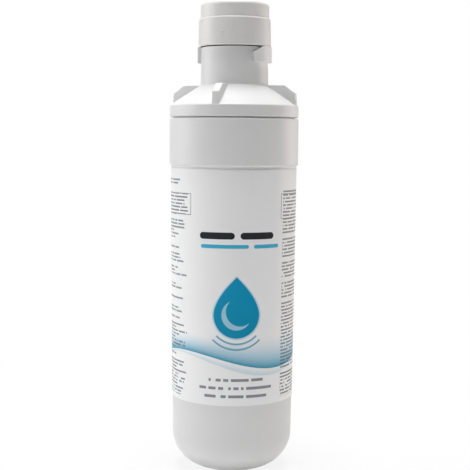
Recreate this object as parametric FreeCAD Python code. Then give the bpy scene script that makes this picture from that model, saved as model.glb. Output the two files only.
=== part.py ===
import FreeCAD, Part
import math
import os

from FreeCAD import Vector

# A twist-in water filter cartridge for a refrigerator, standing on its base with its neck up.
# Sizes are in millimetres and degrees. The origin is the middle of the base and +Z runs up the
# axis. The front of the label faces -Y, and angles round the axis are counted from the front
# towards +X.

# Lower housing: a drafted can with a rounded base and a weld collar round its mouth
CAN_HEIGHT = 181.7
CAN_TOP_RADIUS = 32.35
CAN_DRAFT = 0.52
CAN_WALL = 2.6
FLOOR_THICKNESS = 3.0
BASE_ROUND = 19.0
COLLAR_HEIGHT = 24.2
COLLAR_STEP = 0.95
COLLAR_WALL = 2.0
COLLAR_EDGE_ROUND = 1.1
COLLAR_LIP_ROUND = 0.7
SOCKET_DEPTH = 12.0
GATE_RECESS_RADIUS = 5.0
GATE_RECESS_DEPTH = 0.6
GATE_STUB_RADIUS = 1.3
GATE_STUB_HEIGHT = 0.4

# Upper housing: tongue, rim, cone shoulder and neck
WELD_CLEARANCE = 0.1
TONGUE_WALL = 2.2
SEAM_GAP = 0.6
RIM_SETBACK = 0.08
RIM_HEIGHT = 5.9
RIM_EDGE_ROUND = 0.9
RIM_SEAM_ROUND = 0.5
SHOULDER_RISE = 10.4
SHOULDER_WALL = 2.8
NECK_FOOT_RADIUS = 17.5
NECK_TOP_RADIUS = 17.05
NECK_RISE = 19.55
NECK_GAP = 0.5
NECK_WALL = 2.8
NECK_STEP = 3.5

# Ribs on the shoulder
RIB_COUNT = 4
RIB_PHASE = -16.4
RIB_THICKNESS = 3.5
RIB_LIFT = 0.3
RIB_FLAT_RADIUS = 26.0
RIB_END_HEIGHT = 6.0
RIB_ROOT = 1.0
RIB_EDGE_ROUND = 0.4

# Bayonet lugs on the neck
LUG_COUNT = 2
LUG_START = 30.7
LUG_ARC = 55.0
LUG_REACH = 2.1
LUG_HEIGHT = 8.2
LUG_ROOT = 0.3
LUG_EDGE_ROUND = 0.7
RAMP_LENGTH = 6.8
RAMP_DROP = 3.0

# Spigot above the lugs, in two stages with a seal groove each
LOWER_STAGE_INSET = 0.7
LOWER_STAGE_HEIGHT = 12.0
UPPER_STAGE_INSET = 0.95
UPPER_STAGE_HEIGHT = 7.8
NOSE_CHAMFER = 0.8
SPIGOT_WALL = 1.9
SPIGOT_ROOF = 3.0
LOWER_SEAL_SECTION = 2.8
UPPER_SEAL_SECTION = 2.4
UPPER_SEAL_RISE = 3.2
SEAL_PROUD = 0.4
SEAL_SIDE_ROOM = 0.6
SEAL_SEAT = 0.02
WINDOW_COUNT = 4
WINDOW_ARC = 50.0
WINDOW_HEIGHT = 3.4
WINDOW_RISE = 8.0
OUTLET_RADIUS = 5.0
BOSS_BORE = 7.0
BOSS_WALL = 1.6
BOSS_LENGTH = 22.0

# Protective cover over the spigot
COVER_WALL = 1.4
COVER_DRAFT = 1.36
COVER_SEAL_GAP = 0.25
COVER_HEAD_GAP = 0.9
COVER_CROWN_ROUND = 1.0
COVER_LEDGE_ROUND = 0.9
COVER_LIP_ROUND = 0.3

# Label film round the can
LABEL_TOP_GAP = 1.2
LABEL_HEIGHT = 118.3
LABEL_THICKNESS = 0.12
LABEL_GLUE = 0.15
LABEL_OPENING = 2.5

# Filter element inside the can
CAP_DEPTH = 9.0
CAP_PLATE = 2.4
CAP_RIM_WALL = 1.2
CAP_RIM_HEIGHT = 4.0
CAP_FIT = 0.1
CAP_EDGE_ROUND = 0.6
FLOW_GAP = 2.0
BASE_FLOW_GAP = 1.2
POTTING_THICKNESS = 0.8
WRAP_THICKNESS = 1.0
WRAP_FIT = 0.03
BLOCK_BORE = 8.0
FLEECE_THICKNESS = 0.8
PLUG_LENGTH = 5.0
TAB_COUNT = 4
TAB_WIDTH = 3.0
TAB_GAP = 0.3
TAB_ROOT = 0.6
FOOT_FINS = 4
FOOT_FIN_THICKNESS = 2.0
FOOT_INSET = 2.5
FOOT_SPREAD_INSET = 6.0

# Outlet tube on the top cap
TUBE_FIT = 0.2
TUBE_BORE = 3.6
TUBE_END_GAP = 1.5
TUBE_FOOT_ROUND = 4.0
TUBE_CHAMFER = 0.6
OUTLET_SEAL_SECTION = 1.8
OUTLET_SEAL_DEPTH = 3.5
OUTLET_SEAL_PITCH = 4.5

AXIS = Vector(0, 0, 1)
ORIGIN = Vector(0, 0, 0)
FRONT = -90.0

# Radii of the can and what plugs into it
collar_low = CAN_HEIGHT - COLLAR_HEIGHT
collar_radius = CAN_TOP_RADIUS + COLLAR_STEP
socket_radius = collar_radius - COLLAR_WALL
socket_floor = CAN_HEIGHT - SOCKET_DEPTH
tongue_radius = socket_radius - WELD_CLEARANCE
tongue_bore = tongue_radius - TONGUE_WALL

# Heights up the head
rim_low = CAN_HEIGHT + SEAM_GAP
rim_top = rim_low + RIM_HEIGHT
rim_radius = collar_radius - RIM_SETBACK
neck_foot = rim_top + SHOULDER_RISE
lug_top = neck_foot + NECK_RISE
neck_top = lug_top - NECK_GAP
stage_step = lug_top + LOWER_STAGE_HEIGHT
spigot_top = stage_step + UPPER_STAGE_HEIGHT
roof_low = spigot_top - SPIGOT_ROOF
shoulder_slope = math.atan2(SHOULDER_RISE, rim_radius - NECK_FOOT_RADIUS)

# Spigot stages and their seals, the lower of which lies on the neck's top
lower_stage_radius = NECK_TOP_RADIUS - LOWER_STAGE_INSET
upper_stage_radius = lower_stage_radius - UPPER_STAGE_INSET
lower_seal_height = neck_top + (LOWER_SEAL_SECTION + SEAL_SIDE_ROOM) / 2
upper_seal_height = stage_step + UPPER_SEAL_RISE
lower_groove_radius = lower_stage_radius + SEAL_PROUD - LOWER_SEAL_SECTION
upper_groove_radius = upper_stage_radius + SEAL_PROUD - UPPER_SEAL_SECTION
spigot_bore = min(lower_groove_radius, upper_groove_radius) - SPIGOT_WALL
boss_radius = BOSS_BORE + BOSS_WALL
boss_low = roof_low - BOSS_LENGTH

# Filter element, from the rounded base up to the top cap
can_foot_bore = CAN_TOP_RADIUS - collar_low * math.tan(math.radians(CAN_DRAFT)) - CAN_WALL
base_bore_round = BASE_ROUND - CAN_WALL
floor_radius = can_foot_bore - base_bore_round
cap_radius = can_foot_bore - FLOW_GAP
cap_rim_bore = cap_radius - CAP_RIM_WALL
wrap_radius = cap_rim_bore - CAP_FIT
block_radius = wrap_radius - WRAP_THICKNESS - WRAP_FIT
fleece_radius = BLOCK_BORE - WRAP_FIT
fleece_bore = fleece_radius - FLEECE_THICKNESS
plug_radius = fleece_bore - CAP_FIT
base_reach = cap_radius + BASE_FLOW_GAP - floor_radius
base_cap_low = FLOOR_THICKNESS + base_bore_round - math.sqrt(base_bore_round**2 - base_reach**2)
base_cap_top = base_cap_low + CAP_PLATE
block_low = base_cap_top + POTTING_THICKNESS
top_cap_top = CAN_HEIGHT - CAP_DEPTH
top_cap_low = top_cap_top - CAP_PLATE
block_top = top_cap_low - POTTING_THICKNESS

# Outlet tube and its seals
tube_radius = BOSS_BORE - TUBE_FIT
tube_top = roof_low - TUBE_END_GAP
outlet_groove_radius = BOSS_BORE - OUTLET_SEAL_SECTION - 2 * SEAL_SEAT
upper_outlet_seal_height = tube_top - OUTLET_SEAL_DEPTH
lower_outlet_seal_height = upper_outlet_seal_height - OUTLET_SEAL_PITCH


def can_radius(height):
    """Outer radius of the drafted can wall at a height."""
    return CAN_TOP_RADIUS - (collar_low - height) * math.tan(math.radians(CAN_DRAFT))


def shoulder_height(radius):
    """Height of the cone shoulder's outer face at a radius."""
    return neck_foot - (radius - NECK_FOOT_RADIUS) * math.tan(shoulder_slope)


def rounded_wire(corners):
    """A closed wire through (radius, height) corners, where a third number rounds the corner."""
    spots = [Vector(corner[0], 0, corner[1]) for corner in corners]
    roundings = [corner[2] if len(corner) > 2 else 0.0 for corner in corners]
    arcs = []
    for index, (spot, rounding) in enumerate(zip(spots, roundings)):
        if rounding == 0:
            arcs.append((spot, None, spot))
            continue
        back = (spots[index - 1] - spot).normalize()
        ahead = (spots[(index + 1) % len(spots)] - spot).normalize()
        half_turn = back.getAngle(ahead) / 2
        tangent = rounding / math.tan(half_turn)
        inward = (back + ahead).normalize()
        middle = spot + inward * (rounding / math.sin(half_turn) - rounding)
        arcs.append((spot + back * tangent, middle, spot + ahead * tangent))
    edges = []
    for index, (first, middle, last) in enumerate(arcs):
        if middle:
            edges.append(Part.Arc(first, middle, last).toShape())
        following = arcs[(index + 1) % len(arcs)][0]
        edges.append(Part.LineSegment(last, following).toShape())
    return Part.Wire(edges)


def turned(corners, start=0.0, arc=360.0):
    """A solid turned about the axis, over an arc that starts at an angle from the front."""
    solid = Part.Face(rounded_wire(corners)).revolve(ORIGIN, AXIS, arc)
    solid.rotate(ORIGIN, AXIS, FRONT + start)
    return solid


def groove(radius, bottom, centre, section):
    """Corners of a seal groove in a turned profile that runs upwards."""
    half = (section + SEAL_SIDE_ROOM) / 2
    low = centre - half
    high = centre + half
    return [(radius, low), (bottom, low), (bottom, high), (radius, high)]


def blades(corners, count, phase, thickness):
    """Flat radial blades of even thickness, cut from one turned profile."""
    ring = turned(corners)
    reach = ring.BoundBox.XMax + thickness
    low = ring.BoundBox.ZMin
    found = []
    for index in range(count):
        slab = Part.makeBox(reach, thickness, ring.BoundBox.ZLength, Vector(0, -thickness / 2, low))
        slab.rotate(ORIGIN, AXIS, FRONT + phase + index * 360.0 / count)
        found.append(ring.common(slab))
    return found


def axis_distance(point):
    """Distance of a point from the axis."""
    return math.hypot(point.x, point.y)


def least_axis_distance(face):
    """Distance from the axis of the face's nearest corner."""
    return min(axis_distance(corner.Point) for corner in face.Vertexes)


def seal_ring(groove_radius, section, height):
    """A round-section seal seated in its groove."""
    centre = groove_radius + SEAL_SEAT + section / 2
    return Part.makeTorus(centre, section / 2, Vector(0, 0, height), AXIS)


def lower_housing():
    """The can: gate recess and rounded base, drafted wall, collar and weld socket."""
    foot_radius = can_radius(0)
    stub_low = GATE_RECESS_DEPTH - GATE_STUB_HEIGHT
    return turned([
        (0, stub_low),
        (GATE_STUB_RADIUS, stub_low),
        (GATE_STUB_RADIUS, GATE_RECESS_DEPTH),
        (GATE_RECESS_RADIUS, GATE_RECESS_DEPTH),
        (GATE_RECESS_RADIUS, 0),
        (foot_radius, 0, BASE_ROUND),
        (CAN_TOP_RADIUS, collar_low),
        (collar_radius, collar_low, COLLAR_EDGE_ROUND),
        (collar_radius, CAN_HEIGHT, COLLAR_LIP_ROUND),
        (socket_radius, CAN_HEIGHT),
        (socket_radius, socket_floor),
        (can_radius(socket_floor) - CAN_WALL, socket_floor),
        (can_foot_bore, FLOOR_THICKNESS, base_bore_round),
        (0, FLOOR_THICKNESS),
    ])


def shoulder_ribs():
    """The ribs that stand on the cone shoulder, flush with the rim at their outer ends."""
    top = neck_foot + RIB_LIFT
    root_radius = NECK_FOOT_RADIUS - RIB_ROOT
    profile = [
        (root_radius, shoulder_height(root_radius) - RIB_ROOT),
        (rim_radius, rim_top - RIB_ROOT),
        (rim_radius, rim_top + RIB_END_HEIGHT),
        (RIB_FLAT_RADIUS, top),
        (root_radius, top),
    ]
    ribs = []
    for rib in blades(profile, RIB_COUNT, RIB_PHASE, RIB_THICKNESS):
        middles = [(edge, edge.CenterOfMass) for edge in rib.Edges]
        crest = [edge for edge, spot in middles if spot.z > shoulder_height(axis_distance(spot))]
        ribs.append(rib.makeFillet(RIB_EDGE_ROUND, crest))
    return ribs


def bayonet_lugs():
    """The lugs on the neck, each with a ramp across its leading upper corner."""
    inner = NECK_TOP_RADIUS - LUG_ROOT
    outer = NECK_TOP_RADIUS + LUG_REACH
    low = lug_top - LUG_HEIGHT
    section = [(inner, low), (outer, low), (outer, lug_top), (inner, lug_top)]
    ramp = Part.makePolygon([
        Vector(0, 0, lug_top - RAMP_DROP),
        Vector(0, RAMP_LENGTH, lug_top),
        Vector(0, RAMP_LENGTH, lug_top + RAMP_DROP),
        Vector(0, -RAMP_LENGTH, lug_top + RAMP_DROP),
        Vector(0, -RAMP_LENGTH, lug_top - 2 * RAMP_DROP),
        Vector(0, 0, lug_top - RAMP_DROP),
    ])
    ramp_turn = math.degrees(RAMP_LENGTH / 2 / outer)
    lugs = []
    for index in range(LUG_COUNT):
        start = LUG_START + index * 360.0 / LUG_COUNT
        cutter = Part.Face(ramp).extrude(Vector(2 * outer, 0, 0))
        cutter.translate(Vector(0, -RAMP_LENGTH / 2, 0))
        cutter.rotate(ORIGIN, AXIS, FRONT + start + ramp_turn)
        lug = turned(section, start, LUG_ARC).cut(cutter)
        face = max(lug.Faces, key=least_axis_distance)
        lugs.append(lug.makeFillet(LUG_EDGE_ROUND, face.Edges))
    return lugs


def inlet_windows():
    """Cutters for the windows between the two seals, where raw water enters."""
    middle = lug_top + WINDOW_RISE
    inner = (boss_radius + spigot_bore) / 2
    outer = lower_stage_radius + SEAL_PROUD
    low = middle - WINDOW_HEIGHT / 2
    high = middle + WINDOW_HEIGHT / 2
    section = [(inner, low), (outer, low), (outer, high), (inner, high)]
    step = 360.0 / WINDOW_COUNT
    return [turned(section, index * step - WINDOW_ARC / 2, WINDOW_ARC) for index in range(WINDOW_COUNT)]


def upper_housing():
    """The head in one moulding: tongue, rim, shoulder, neck, spigot, boss, ribs and lugs."""
    shoulder_drop = SHOULDER_WALL / math.cos(shoulder_slope)
    neck_bore = NECK_TOP_RADIUS - NECK_WALL
    neck_step_height = lug_top - NECK_STEP
    shell = turned([
        (tongue_bore, socket_floor),
        (tongue_radius, socket_floor),
        (tongue_radius, rim_low),
        (rim_radius, rim_low, RIM_SEAM_ROUND),
        (rim_radius, rim_top, RIM_EDGE_ROUND),
        (NECK_FOOT_RADIUS, neck_foot),
        (NECK_TOP_RADIUS, neck_top),
        *groove(lower_stage_radius, lower_groove_radius, lower_seal_height, LOWER_SEAL_SECTION),
        (lower_stage_radius, stage_step - UPPER_STAGE_INSET),
        (upper_stage_radius, stage_step),
        *groove(upper_stage_radius, upper_groove_radius, upper_seal_height, UPPER_SEAL_SECTION),
        (upper_stage_radius, spigot_top - NOSE_CHAMFER),
        (upper_stage_radius - NOSE_CHAMFER, spigot_top),
        (OUTLET_RADIUS, spigot_top),
        (OUTLET_RADIUS, roof_low),
        (BOSS_BORE, roof_low),
        (BOSS_BORE, boss_low),
        (boss_radius, boss_low),
        (boss_radius, roof_low),
        (spigot_bore, roof_low),
        (spigot_bore, neck_step_height),
        (neck_bore, neck_step_height),
        (neck_bore, shoulder_height(neck_bore) - shoulder_drop),
        (tongue_bore, shoulder_height(tongue_bore) - shoulder_drop),
    ])
    head = shell.multiFuse(shoulder_ribs() + bayonet_lugs())
    for window in inlet_windows():
        head = head.cut(window)
    return head.removeSplitter()


def protective_cover():
    """The stepped hygiene cover, drafted inside and out, standing on the lugs."""
    spread = math.tan(math.radians(COVER_DRAFT))
    roof = spigot_top + COVER_HEAD_GAP
    crown = roof + COVER_WALL
    bore_step = stage_step + COVER_HEAD_GAP
    ledge = bore_step + COVER_WALL
    crown_bore = upper_groove_radius + UPPER_SEAL_SECTION + SEAL_SEAT + COVER_SEAL_GAP
    skirt_bore = lower_groove_radius + LOWER_SEAL_SECTION + SEAL_SEAT + COVER_SEAL_GAP
    crown_radius = crown_bore + COVER_WALL
    skirt_radius = skirt_bore + COVER_WALL
    crown_spread = (roof - bore_step) * spread
    skirt_spread = (bore_step - lug_top) * spread
    return turned([
        (0, crown),
        (0, roof),
        (crown_bore, roof),
        (crown_bore + crown_spread, bore_step),
        (skirt_bore, bore_step),
        (skirt_bore + skirt_spread, lug_top),
        (skirt_radius + skirt_spread, lug_top, COVER_LIP_ROUND),
        (skirt_radius, ledge, COVER_LEDGE_ROUND),
        (crown_radius + crown_spread, ledge),
        (crown_radius, crown, COVER_CROWN_ROUND),
    ])


def label():
    """The film round the can, open by a narrow strip at the back."""
    top = collar_low - LABEL_TOP_GAP
    low = top - LABEL_HEIGHT
    opening = math.degrees(LABEL_OPENING / can_radius(low))
    inner_top = can_radius(top) + LABEL_GLUE
    inner_low = can_radius(low) + LABEL_GLUE
    profile = [
        (inner_low, low),
        (inner_low + LABEL_THICKNESS, low),
        (inner_top + LABEL_THICKNESS, top),
        (inner_top, top),
    ]
    return turned(profile, 180 + opening / 2, 360 - opening)


def lower_seal_ring():
    """The large seal on the spigot's lower stage."""
    return seal_ring(lower_groove_radius, LOWER_SEAL_SECTION, lower_seal_height)


def upper_seal_ring():
    """The seal on the spigot's upper stage."""
    return seal_ring(upper_groove_radius, UPPER_SEAL_SECTION, upper_seal_height)


def lower_outlet_seal():
    """The lower seal on the outlet tube."""
    return seal_ring(outlet_groove_radius, OUTLET_SEAL_SECTION, lower_outlet_seal_height)


def upper_outlet_seal():
    """The upper seal on the outlet tube."""
    return seal_ring(outlet_groove_radius, OUTLET_SEAL_SECTION, upper_outlet_seal_height)


def sleeve(inner, outer):
    """A tube as long as the filter block."""
    return turned([(inner, block_low), (outer, block_low), (outer, block_top), (inner, block_top)])


def carbon_block():
    """The pressed carbon tube."""
    return sleeve(BLOCK_BORE, block_radius)


def prefilter_wrap():
    """The fleece round the carbon block."""
    return sleeve(wrap_radius - WRAP_THICKNESS, wrap_radius)


def inner_fleece():
    """The fleece sleeve in the carbon block's bore."""
    return sleeve(fleece_bore, fleece_radius)


def potting(low):
    """A hot-melt ring between a cap and the block's end."""
    high = low + POTTING_THICKNESS
    inner = plug_radius + CAP_FIT
    return turned([(inner, low), (wrap_radius, low), (wrap_radius, high), (inner, high)])


def top_potting():
    """The hot-melt ring under the top cap."""
    return potting(block_top)


def bottom_potting():
    """The hot-melt ring on the bottom cap."""
    return potting(base_cap_top)


def top_end_cap():
    """The upper cap: rim, plug, outlet tube with two seal grooves, and centring tabs."""
    plug_low = top_cap_low - PLUG_LENGTH
    rim_foot = top_cap_top - CAP_RIM_HEIGHT - CAP_PLATE
    cap = turned([
        (TUBE_BORE, plug_low),
        (plug_radius, plug_low),
        (plug_radius, top_cap_low),
        (cap_rim_bore, top_cap_low),
        (cap_rim_bore, rim_foot),
        (cap_radius, rim_foot),
        (cap_radius, top_cap_top, CAP_EDGE_ROUND),
        (tube_radius, top_cap_top, TUBE_FOOT_ROUND),
        *groove(tube_radius, outlet_groove_radius, lower_outlet_seal_height, OUTLET_SEAL_SECTION),
        *groove(tube_radius, outlet_groove_radius, upper_outlet_seal_height, OUTLET_SEAL_SECTION),
        (tube_radius, tube_top - TUBE_CHAMFER),
        (tube_radius - TUBE_CHAMFER, tube_top),
        (TUBE_BORE, tube_top),
    ])
    tab_inner = cap_radius - TAB_ROOT
    tab_outer = tongue_bore - TAB_GAP
    tab_top = top_cap_top - CAP_EDGE_ROUND
    tabs = blades(
        [(tab_inner, top_cap_low), (tab_outer, top_cap_low), (tab_outer, tab_top), (tab_inner, tab_top)],
        TAB_COUNT, 0.0, TAB_WIDTH,
    )
    return cap.multiFuse(tabs).removeSplitter()


def bottom_end_cap():
    """The closed lower cap: rim, plug and the cross that stands on the can's floor."""
    cap = turned([
        (0, base_cap_low),
        (cap_radius, base_cap_low, CAP_EDGE_ROUND),
        (cap_radius, base_cap_top + CAP_RIM_HEIGHT),
        (cap_rim_bore, base_cap_top + CAP_RIM_HEIGHT),
        (cap_rim_bore, base_cap_top),
        (plug_radius, base_cap_top),
        (plug_radius, base_cap_top + PLUG_LENGTH),
        (0, base_cap_top + PLUG_LENGTH),
    ])
    fins = blades(
        [
            (0, FLOOR_THICKNESS),
            (floor_radius - FOOT_INSET, FLOOR_THICKNESS),
            (cap_radius - FOOT_SPREAD_INSET, base_cap_low),
            (0, base_cap_low),
        ],
        FOOT_FINS, 0.0, FOOT_FIN_THICKNESS,
    )
    return cap.multiFuse(fins).removeSplitter()


PIECES = [
    lower_housing,
    upper_housing,
    protective_cover,
    label,
    lower_seal_ring,
    upper_seal_ring,
    carbon_block,
    prefilter_wrap,
    inner_fleece,
    top_end_cap,
    bottom_end_cap,
    lower_outlet_seal,
    upper_outlet_seal,
    top_potting,
    bottom_potting,
]


def main():
    """Build every piece and write it to its own file."""
    os.makedirs("parts", exist_ok=True)
    for piece in PIECES:
        shape = piece()
        shape.exportStep("parts/" + piece.__name__ + ".step")
        solids = len(shape.Solids)
        print(piece.__name__, solids, shape.isValid(), round(shape.Volume / 1000, 2))


main()
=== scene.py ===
"""Looks of a twist-in water filter cartridge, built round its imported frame.

Sizes are millimetres and degrees, and in the studio metres and watts. Angles round the axis are
counted from the front, which faces -Y, towards +X.
"""

import logging
import math
from abc import ABC, abstractmethod
from collections.abc import Callable, Sequence
from dataclasses import dataclass, field
from enum import Enum
from functools import reduce
from typing import Any

import bmesh
import bpy
from mathutils import Matrix, Quaternion, Vector


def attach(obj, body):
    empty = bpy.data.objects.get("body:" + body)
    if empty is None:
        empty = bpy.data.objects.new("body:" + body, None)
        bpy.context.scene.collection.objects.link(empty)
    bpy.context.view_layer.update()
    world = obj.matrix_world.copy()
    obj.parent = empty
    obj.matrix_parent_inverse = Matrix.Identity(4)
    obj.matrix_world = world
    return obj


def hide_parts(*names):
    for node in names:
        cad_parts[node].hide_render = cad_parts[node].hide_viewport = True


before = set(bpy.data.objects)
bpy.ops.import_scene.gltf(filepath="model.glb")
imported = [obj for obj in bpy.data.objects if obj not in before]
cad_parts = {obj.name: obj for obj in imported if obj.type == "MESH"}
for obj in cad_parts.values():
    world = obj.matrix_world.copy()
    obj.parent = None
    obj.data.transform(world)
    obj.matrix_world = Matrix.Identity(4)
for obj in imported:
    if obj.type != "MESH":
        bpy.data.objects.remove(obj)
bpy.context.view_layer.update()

LOG = logging.getLogger("cartridge")

MM = 0.001
FULL_TURN = 360.0
FRONT = -90.0
ORIGIN = (0.0, 0.0, 0.0)
UPRIGHT = Vector((0.0, 0.0, 1.0))
ROUND_STEPS = 192
SUPPORT_RUN = 0.25
SUPPORT_SHARE = 0.25
ARC_STEP = 1.2
LEAST_ARC_STEPS = 4
BEVEL_STEPS = 5
EDGE_SLACK = 0.01
SHARP_ANGLE = math.radians(28.0)
FLAT_ANGLE = math.radians(1.0)
MERGE_DISTANCE = 1e-7
NOISE_MEAN = 0.5

# Numbers of a Mix node's colour sockets, among those for other kinds of value
MIX_SHARE, MIX_UNDER, MIX_OVER, MIX_RESULT = 0, 6, 7, 2

Colour = tuple[float, float, float, float]
Triple = tuple[float, float, float]
Pair = tuple[float, float]
Shape = bmesh.types.BMesh
Piece = bpy.types.Object
Vert = bmesh.types.BMVert

PURE_WHITE: Colour = (1.0, 1.0, 1.0, 1.0)


class Body(Enum):
    """The frame's bodies."""

    HOUSING = "housing"
    COVER = "cover"


class Slot(Enum):
    """The record's material slots by name, which the script doesn't use."""

    HOUSING = "white_housing"
    COVER = "cover_plastic"
    FILM = "label_film"
    SEAL = "seal_rubber"


class Carving(Enum):
    """How one mesh is combined with another."""

    JOIN = "UNION"
    CUT = "DIFFERENCE"


def paint(*levels: int) -> Colour:
    """Turn red, green and blue as seen on screen, 0 to 255, into the linear ones of shaders."""
    shares = [level / 255.0 for level in levels]
    return (*(s / 12.92 if s <= 0.04045 else ((s + 0.055) / 1.055) ** 2.4 for s in shares), 1.0)


def toned(colour: Colour, factor: float) -> Colour:
    """Return a colour made lighter or darker by a factor."""
    return (colour[0] * factor, colour[1] * factor, colour[2] * factor, 1.0)


def arithmetic(operation: str, swapped: bool = False) -> Callable[..., "Wire"]:
    """Make a method that takes a socket through a Math node.

    Args:
        operation: What the node does.
        swapped: True where the socket comes second.

    Returns:
        The method.
    """

    def method(self: "Wire", *others: "Wire | float") -> "Wire":
        """Add the node and return its output."""
        values = (*others, self) if swapped else (self, *others)
        return self.board.add("ShaderNodeMath", dict(enumerate(values)), operation=operation)

    return method


class Wire:
    """An output socket that takes part in Python arithmetic."""

    __add__ = arithmetic("ADD")
    __radd__ = arithmetic("ADD", swapped=True)
    __sub__ = arithmetic("SUBTRACT")
    __rsub__ = arithmetic("SUBTRACT", swapped=True)
    __mul__ = arithmetic("MULTIPLY")
    __rmul__ = arithmetic("MULTIPLY", swapped=True)
    __truediv__ = arithmetic("DIVIDE")
    __pow__ = arithmetic("POWER")
    __abs__ = arithmetic("ABSOLUTE")
    floor = arithmetic("FLOOR")
    fraction = arithmetic("FRACT")
    root = arithmetic("SQRT")
    sine = arithmetic("SINE")
    bearing = arithmetic("ARCTAN2")
    least = arithmetic("MINIMUM")
    most = arithmetic("MAXIMUM")
    above = arithmetic("GREATER_THAN")
    below = arithmetic("LESS_THAN")

    def __init__(self, board: "Board", socket: bpy.types.NodeSocket) -> None:
        """Keep the socket and the board it is on."""
        self.board = board
        self.socket = socket

    def __neg__(self) -> "Wire":
        """Change the sign."""
        return self * -1.0

    def beside(self, name: str) -> "Wire":
        """Return another output of the same node."""
        return Wire(self.board, self.socket.node.outputs[name])


@dataclass(frozen=True)
class Noise:
    """A noise: size of its patches, count of finer layers and repeats along each axis."""

    size: float
    detail: float
    stretch: Triple = (1.0, 1.0, 1.0)


@dataclass(frozen=True)
class Relief:
    """How much of a height shows, and the depth that a height of 1 stands for."""

    strength: float
    depth: float


class Board:
    """A node tree that grows one node at a time."""

    def __init__(self, tree: bpy.types.NodeTree) -> None:
        """Start on an emptied tree."""
        self.tree = tree
        self.tree.nodes.clear()

    def add(
        self,
        kind: str,
        sockets: dict[str | int, Any] | None = None,
        output: str | int = 0,
        **settings: str,
    ) -> Wire:
        """Add a node, set it up and feed its sockets.

        Args:
            kind: The node's type.
            sockets: Values or wires for inputs, by name or number.
            output: The output to go on with.
            **settings: Properties of the node, set first.

        Returns:
            That output.
        """
        node = self.tree.nodes.new(kind)
        for name, value in settings.items():
            setattr(node, name, value)
        for name, value in (sockets or {}).items():
            if isinstance(value, Wire):
                self.tree.links.new(value.socket, node.inputs[name])
            else:
                node.inputs[name].default_value = value
        return Wire(self, node.outputs[output])

    def close(self, kind: str, surface: Wire) -> None:
        """Lead a surface into the tree's output node."""
        self.tree.links.new(surface.socket, self.tree.nodes.new(kind).inputs["Surface"])

    def mix(self, share: Wire, under: Wire | Colour, over: Wire | Colour) -> Wire:
        """Lay one colour over another by a share."""
        inputs = {MIX_SHARE: share, MIX_UNDER: under, MIX_OVER: over}
        return self.add("ShaderNodeMix", inputs, MIX_RESULT, data_type="RGBA")

    def ease(self, low: float, high: float, value: Wire) -> Wire:
        """Rise smoothly from 0 where a value is low to 1 where it is high."""
        ends = {"Value": value, "From Min": low, "From Max": high}
        return self.add("ShaderNodeMapRange", ends, interpolation_type="SMOOTHSTEP")

    def chance(self, number: Wire) -> Wire:
        """Give each number its own fixed value from 0 to 1."""
        return self.add("ShaderNodeTexWhiteNoise", {"W": number}, noise_dimensions="1D")

    def place(self) -> Wire:
        """Return the spot on the piece, in metres."""
        return self.add("ShaderNodeTexCoord", output="Object")

    def noise(self, noise: Noise) -> Wire:
        """Lay a noise on the piece.

        Args:
            noise: Its sizes.

        Returns:
            A value round one half.
        """
        laid = self.add("ShaderNodeMapping", {"Vector": self.place(), "Scale": noise.stretch})
        inputs = {"Vector": laid, "Scale": 1.0 / (noise.size * MM), "Detail": noise.detail}
        return self.add("ShaderNodeTexNoise", inputs)

    def cells(self, size: float) -> Wire:
        """Lay cells on the piece and return the distance within each."""
        inputs = {"Vector": self.place(), "Scale": 1.0 / (size * MM)}
        return self.add("ShaderNodeTexVoronoi", inputs)

    def bump(self, height: Wire, relief: Relief) -> Wire:
        """Turn a height from 0 to 1 into a surface direction."""
        inputs = {"Strength": relief.strength, "Distance": relief.depth * MM, "Height": height}
        return self.add("ShaderNodeBump", inputs)


@dataclass(frozen=True)
class Finish(ABC):
    """What a surface looks like. Its name is none of the frame's own materials."""

    name: str

    @abstractmethod
    def sockets(self, board: Board) -> dict[str, Any]:
        """Lay out the pattern and return the surface shader's inputs."""

    def material(self) -> bpy.types.Material:
        """Make the material, or find the one that was made before.

        Returns:
            The material.
        """
        found = bpy.data.materials.get(self.name)
        if found:
            return found
        made = bpy.data.materials.new(self.name)
        made.use_nodes = True
        board = Board(made.node_tree)
        surface = board.add("ShaderNodeBsdfPrincipled", self.sockets(board))
        board.close("ShaderNodeOutputMaterial", surface)
        return made


@dataclass(frozen=True)
class MouldedPlastic(Finish):
    """Satin moulded plastic with a faint flow cloud, draw lines and a fine mould grain."""

    colour: Colour
    roughness: float = 0.42
    specular: float = 0.45
    flow: Noise = Noise(22.0, 2.0)
    flow_tone: float = 0.02
    flow_gloss: float = 0.1
    draw: Noise = Noise(2.5, 2.0, (1.0, 1.0, 0.04))
    draw_gloss: float = 0.06
    speck: Noise = Noise(0.4, 1.0)
    grain: Relief = Relief(0.12, 0.02)

    def sockets(self, board: Board) -> dict[str, Any]:
        """Cloud the colour and the gloss, and raise the grain.

        Args:
            board: The material's nodes.

        Returns:
            The surface shader's inputs.
        """
        flow = board.noise(self.flow)
        draw = board.noise(self.draw)
        dark = toned(self.colour, 1.0 - self.flow_tone)
        light = toned(self.colour, 1.0 + self.flow_tone)
        clouded = self.roughness + self.flow_gloss * (flow - NOISE_MEAN)
        return {
            "Base Color": board.mix(flow, dark, light),
            "Roughness": clouded + self.draw_gloss * (draw - NOISE_MEAN),
            "Normal": board.bump(board.noise(self.speck), self.grain),
            "Specular IOR Level": self.specular,
        }


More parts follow.
